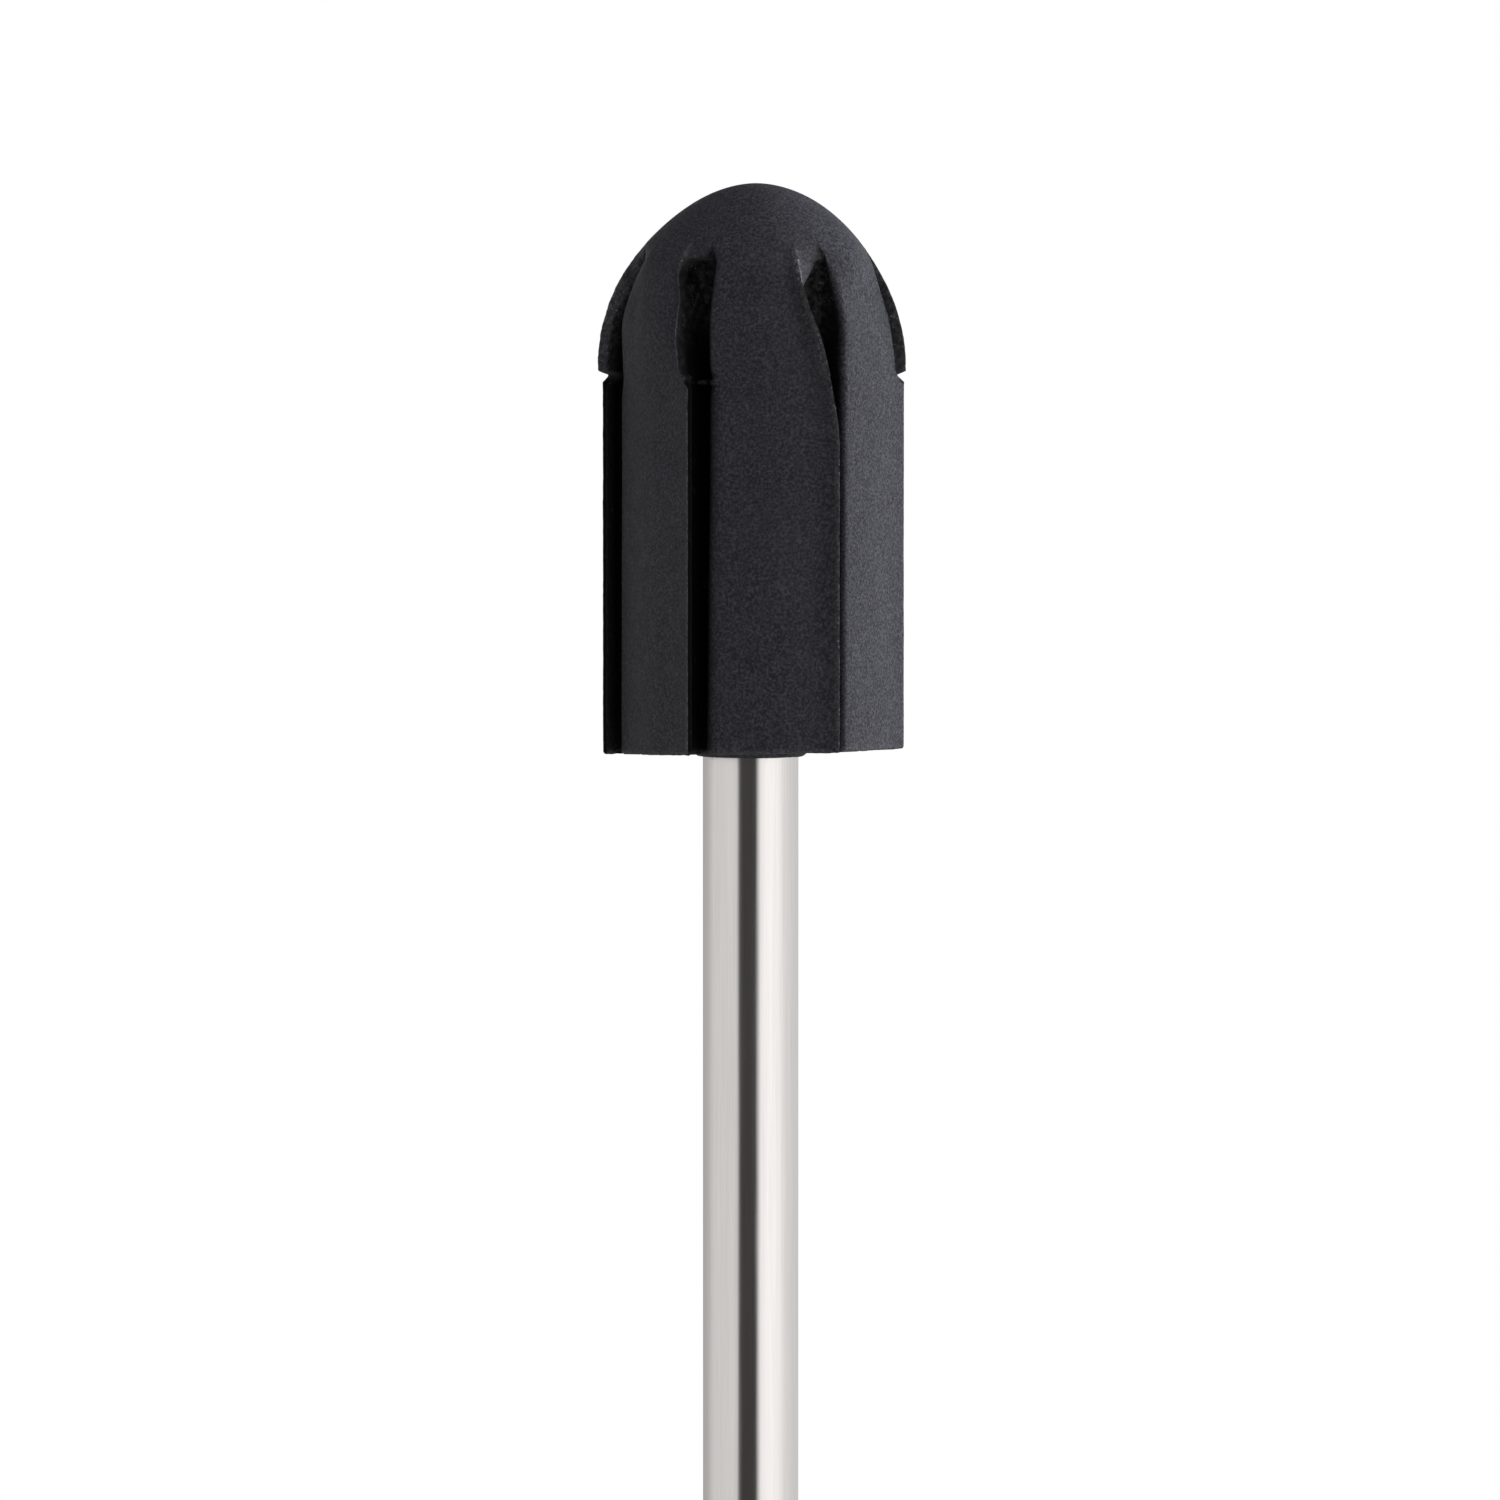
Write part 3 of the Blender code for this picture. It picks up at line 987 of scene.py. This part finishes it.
def floor_material():
    """Pale, and fading to plain white away from the object."""
    material = bpy.data.materials.new("pale_floor")
    nodes = Nodes(material)
    place = nodes.add("ShaderNodeTexCoord").outputs["Object"]
    length = nodes.add("ShaderNodeVectorMath", operation="LENGTH")
    nodes.link(place, length.inputs[0])
    away = nodes.number("DIVIDE", length.outputs["Value"], STAGE_RADIUS)
    fade = nodes.ramp(away, [(0.15, 0.0), (0.8, 1.0)], "EASE")
    shader = nodes.add("ShaderNodeBsdfPrincipled")
    shader.inputs["Base Color"].default_value = PALE
    shader.inputs["Roughness"].default_value = 0.6
    glow = nodes.add("ShaderNodeEmission")
    blend = nodes.add("ShaderNodeMixShader")
    nodes.link(fade, blend.inputs[0])
    nodes.link(shader.outputs[0], blend.inputs[1])
    nodes.link(glow.outputs[0], blend.inputs[2])
    nodes.link(blend.outputs[0], nodes.add("ShaderNodeOutputMaterial").inputs["Surface"])
    return material


# ---------------------------------------------------------------------------------------------
# Stage

STAGE_RADIUS = 0.085  # metres
STAGE_SIDES = 128
LENS = 250.0
SENSOR = 36.0
VIEW_HEIGHT = 36.91 * MM  # what the picture shows, from top to bottom, at the object
VIEW_ELEVATION = 3.0  # degrees
VIEW_CENTRE = BASE + 0.035  # mm, the height at the picture's middle
VIEW_ASIDE = -0.015  # mm
CLIP = (0.01, 10.0)  # metres

# Soft lights: (name, degrees round from -Y towards +X, degrees up, watts)
LIGHTS = (("key", 109, 14, 6.9), ("fill", 25, 42, 0.85), ("top", -45, 65, 0.5), ("back", -165, 12, 1.5))
LIGHT_DISTANCE = 0.4  # metres
LIGHT_SIZE = 0.2


def floor():
    mesh = bmesh.new()
    bmesh.ops.create_circle(mesh, cap_ends=True, segments=STAGE_SIDES, radius=STAGE_RADIUS)
    data = bpy.data.meshes.new("floor")
    mesh.to_mesh(data)
    mesh.free()
    data.materials.append(floor_material())
    piece = bpy.data.objects.new("floor", data)
    piece.visible_glossy = False  # a white floor in the steel would hide the shank in front of it
    bpy.context.scene.collection.objects.link(piece)


def camera():
    data = bpy.data.cameras.new("camera")
    data.lens = LENS
    data.sensor_width = SENSOR
    data.clip_start, data.clip_end = CLIP
    piece = bpy.data.objects.new("camera", data)
    rise = radians(VIEW_ELEVATION)
    back = Vector((0, -cos(rise), sin(rise)))
    distance = VIEW_HEIGHT / 2 / (SENSOR / 2 / LENS)
    piece.location = Vector((VIEW_ASIDE, 0, VIEW_CENTRE)) * MM + back * distance
    piece.rotation_euler = (-back).to_track_quat("-Z", "Y").to_euler()
    bpy.context.scene.collection.objects.link(piece)
    bpy.context.scene.camera = piece


# The studio round the object: (degrees round from -Y towards +X, brightness). -Y itself is dark.
STUDIO = (
    (-180, 0.38),
    (-125, 0.58),
    (-100, 0.80),
    (-45, 0.84),
    (-33, 0.80),
    (-27, 0.12),
    (-20, 0.06),
    (12, 0.06),
    (19, 0.7),
    (24, 1.15),
    (45, 1.30),
    (72, 1.20),
    (90, 0.95),
    (120, 0.82),
    (160, 0.70),
    (180, 0.38),
)


# The same from straight down, at 0, to straight up, at 1: (height, brightness)
STUDIO_HEIGHTS = ((0.0, 0.4), (0.28, 0.5), (0.42, 1.0), (0.56, 1.0), (0.72, 0.2), (1.0, 0.3))
STUDIO_COLOUR = (0.985, 0.99, 1.0, 1.0)
STUDIO_PEAK = 2.0  # a ramp goes no higher than 1, so it holds shares of this


def studio():
    """A white surround to the camera, and softboxes with a dark gap to everything else."""
    world = bpy.data.worlds.new("studio")
    bpy.context.scene.world = world
    nodes = Nodes(world)
    direction = nodes.add("ShaderNodeTexCoord").outputs["Generated"]
    split = nodes.add("ShaderNodeSeparateXYZ")
    nodes.link(direction, split.inputs[0])
    x, y, z = split.outputs
    turn = nodes.number("ARCTAN2", x, nodes.number("MULTIPLY", y, -1.0))
    share = nodes.number("ADD", nodes.number("DIVIDE", turn, 2 * pi), 0.5)
    round_about = nodes.ramp(share, [(0.5 + angle / 360, value / STUDIO_PEAK) for angle, value in STUDIO])
    height = nodes.number("ADD", nodes.number("MULTIPLY", z, 0.5), 0.5)
    upright = nodes.ramp(height, STUDIO_HEIGHTS)
    strength = nodes.number("MULTIPLY", nodes.number("MULTIPLY", round_about, upright), STUDIO_PEAK)
    surround = nodes.add("ShaderNodeBackground")
    surround.inputs["Color"].default_value = STUDIO_COLOUR
    nodes.link(strength, surround.inputs["Strength"])
    plain = nodes.add("ShaderNodeBackground")
    plain.inputs["Color"].default_value = (1.0, 1.0, 1.0, 1.0)
    seen = nodes.add("ShaderNodeLightPath").outputs["Is Camera Ray"]
    blend = nodes.add("ShaderNodeMixShader")
    nodes.link(seen, blend.inputs[0])
    nodes.link(surround.outputs[0], blend.inputs[1])
    nodes.link(plain.outputs[0], blend.inputs[2])
    nodes.link(blend.outputs[0], nodes.add("ShaderNodeOutputWorld").inputs["Surface"])


def area_light(name, azimuth, elevation, power):
    """A round soft light aimed at the head's base. The steel reflects only the studio, not the lights."""
    data = bpy.data.lights.new(name, "AREA")
    data.shape = "DISK"
    data.size = LIGHT_SIZE
    data.energy = power
    piece = bpy.data.objects.new(name, data)
    turn, rise = radians(azimuth), radians(elevation)
    out = Vector((sin(turn) * cos(rise), -cos(turn) * cos(rise), sin(rise)))
    piece.location = Vector((0, 0, BASE * MM)) + out * LIGHT_DISTANCE
    piece.rotation_euler = (-out).to_track_quat("-Z", "Y").to_euler()
    piece.visible_glossy = False
    piece.visible_camera = False
    bpy.context.scene.collection.objects.link(piece)


def main():
    scene = bpy.context.scene
    scene.view_settings.view_transform = "Standard"
    camera()
    studio()
    floor()
    for name, azimuth, elevation, power in LIGHTS:
        area_light(name, azimuth, elevation, power)

    head = rubber_head()
    head.data.materials.append(rubber_material())
    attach(head, "root")
    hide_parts("rubber_head")

    shank = steel_shank()
    shank.data.materials.append(steel_material())
    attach(shank, "root")
    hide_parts("steel_shank")


main()
